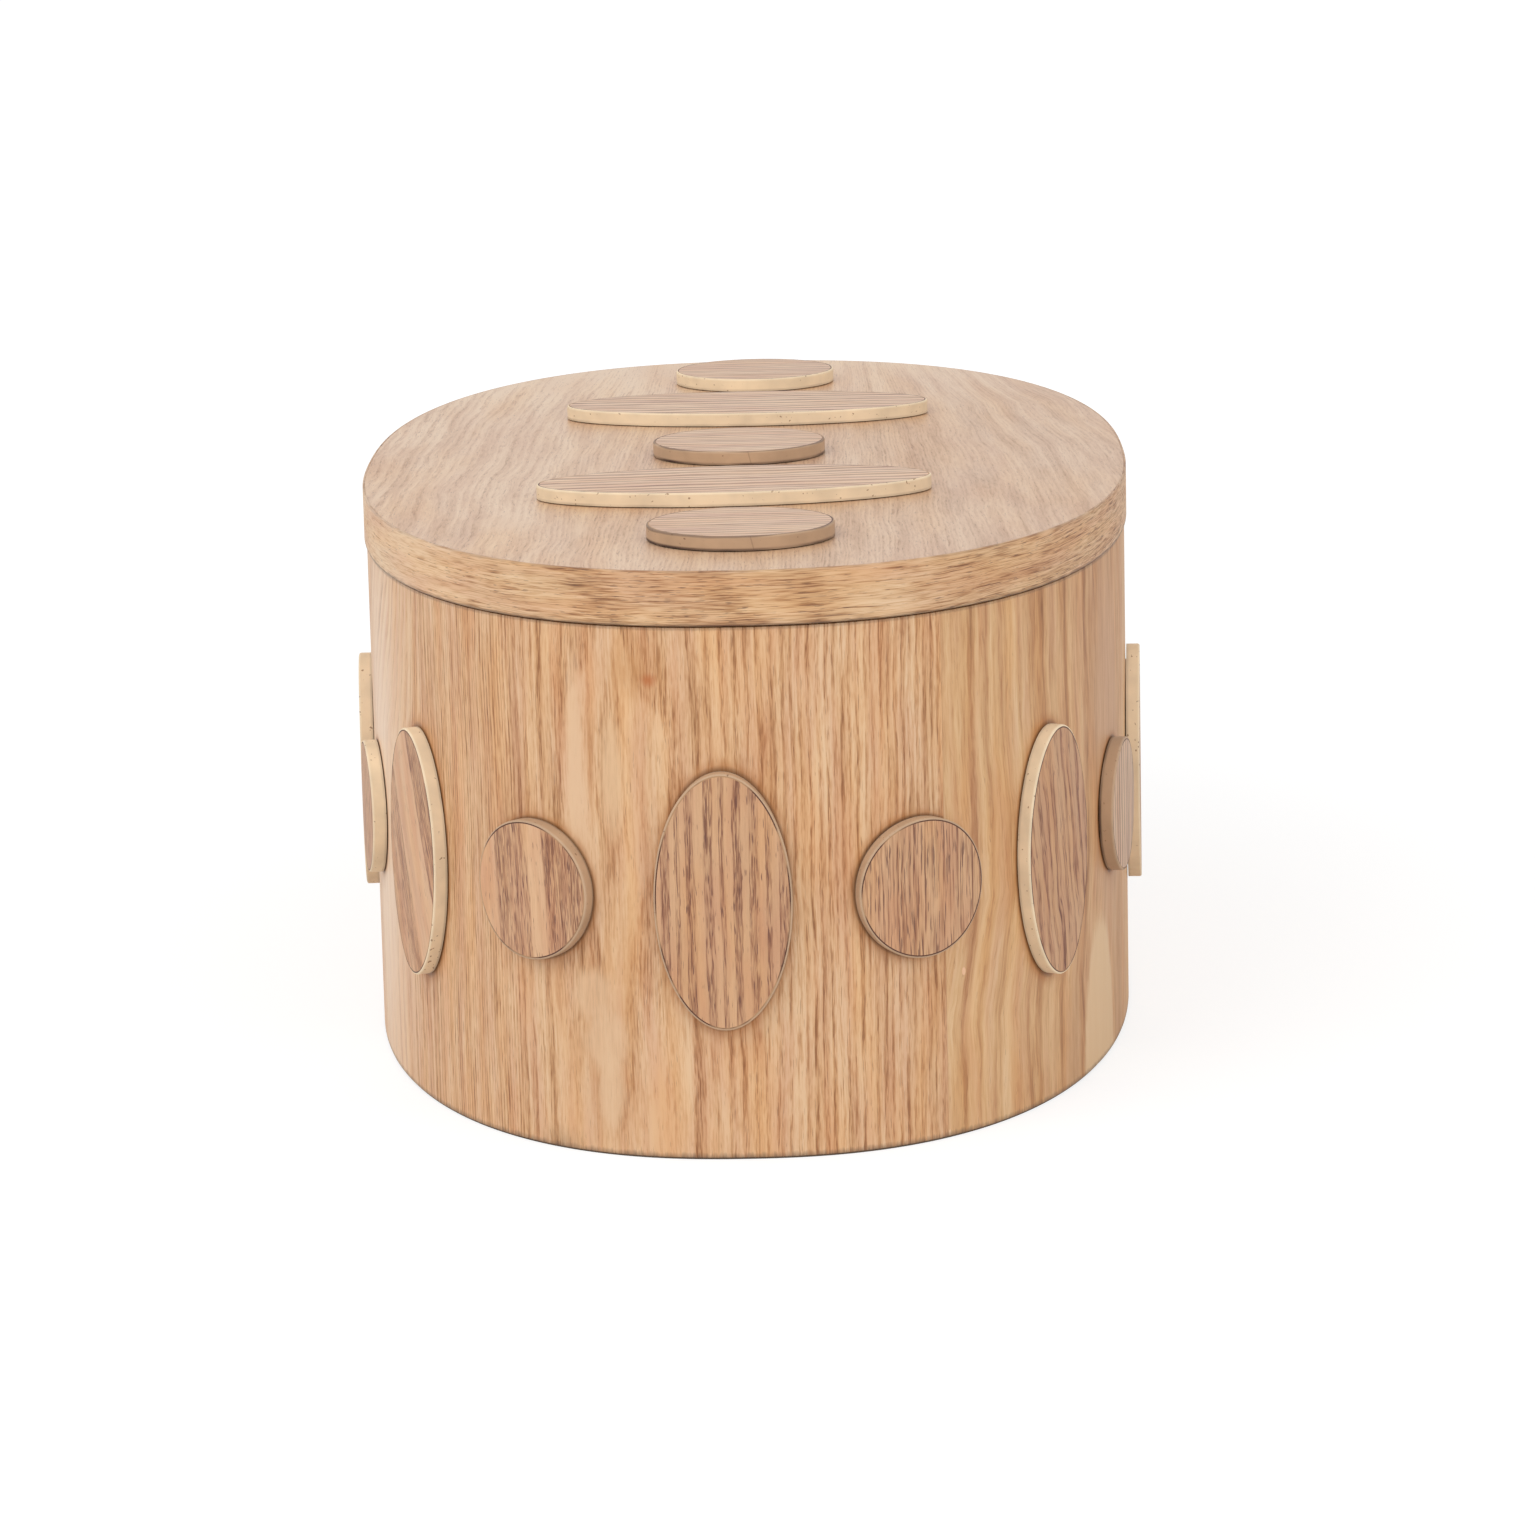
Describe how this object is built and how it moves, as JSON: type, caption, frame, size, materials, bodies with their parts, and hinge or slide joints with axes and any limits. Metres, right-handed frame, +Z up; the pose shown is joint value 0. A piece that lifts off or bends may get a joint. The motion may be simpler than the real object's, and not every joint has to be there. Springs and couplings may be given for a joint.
{
  "type": "oval keepsake box",
  "caption": "Long oval wooden box with bent veneered wall, lift-off lid with locating ring, and raised oval and round wooden trims on the wall and lid.",
  "frame": {"origin": "centre of the box on the surface it stands on", "axes": "+X across the box to the right, +Y along it away from the front end, +Z up"},
  "size_m": [0.2362, 0.4382, 0.1672],
  "materials": {
    "wall_veneer": "matt clear-oiled ash veneer, grain upright",
    "lid_veneer": "matt clear-oiled ash veneer, grain along the box",
    "rim_veneer": "matt clear-oiled ash edge band, grain along the band",
    "lining_veneer": "matt ash veneer",
    "core_board": "bare birch plywood",
    "side_trim": "matt ash veneered board, grain upright",
    "lid_trim": "matt ash veneered board, grain across the box"
  },
  "bodies": {
    "base": {"wall_core": "core_board", "wall_veneer_left": "wall_veneer", "wall_veneer_right": "wall_veneer", "wall_lining": "lining_veneer", "base_board": "core_board", "base_veneer": "lining_veneer", "side_oval_1": "side_trim", "side_oval_2": "side_trim", "side_oval_3": "side_trim", "side_oval_4": "side_trim", "side_oval_5": "side_trim", "side_oval_6": "side_trim", "side_oval_7": "side_trim", "side_oval_8": "side_trim", "side_oval_9": "side_trim", "side_round_1": "side_trim", "side_round_2": "side_trim", "side_round_3": "side_trim", "side_round_4": "side_trim", "side_round_5": "side_trim", "side_round_6": "side_trim", "side_round_7": "side_trim", "side_round_8": "side_trim", "side_round_9": "side_trim"},
    "lid": {"lid_board": "core_board", "lid_top_veneer": "lid_veneer", "lid_lower_veneer": "lining_veneer", "lid_edge_band": "rim_veneer", "lid_ring": "core_board", "lid_round_1": "lid_trim", "lid_round_2": "lid_trim", "lid_round_3": "lid_trim", "lid_oval_1": "lid_trim", "lid_oval_2": "lid_trim"}
  },
  "joints": [
    {"name": "lid_lift", "type": "slide", "parent": "base", "child": "lid", "axis": [0, 0, 1], "range_m": [0, 0.12]}
  ]
}
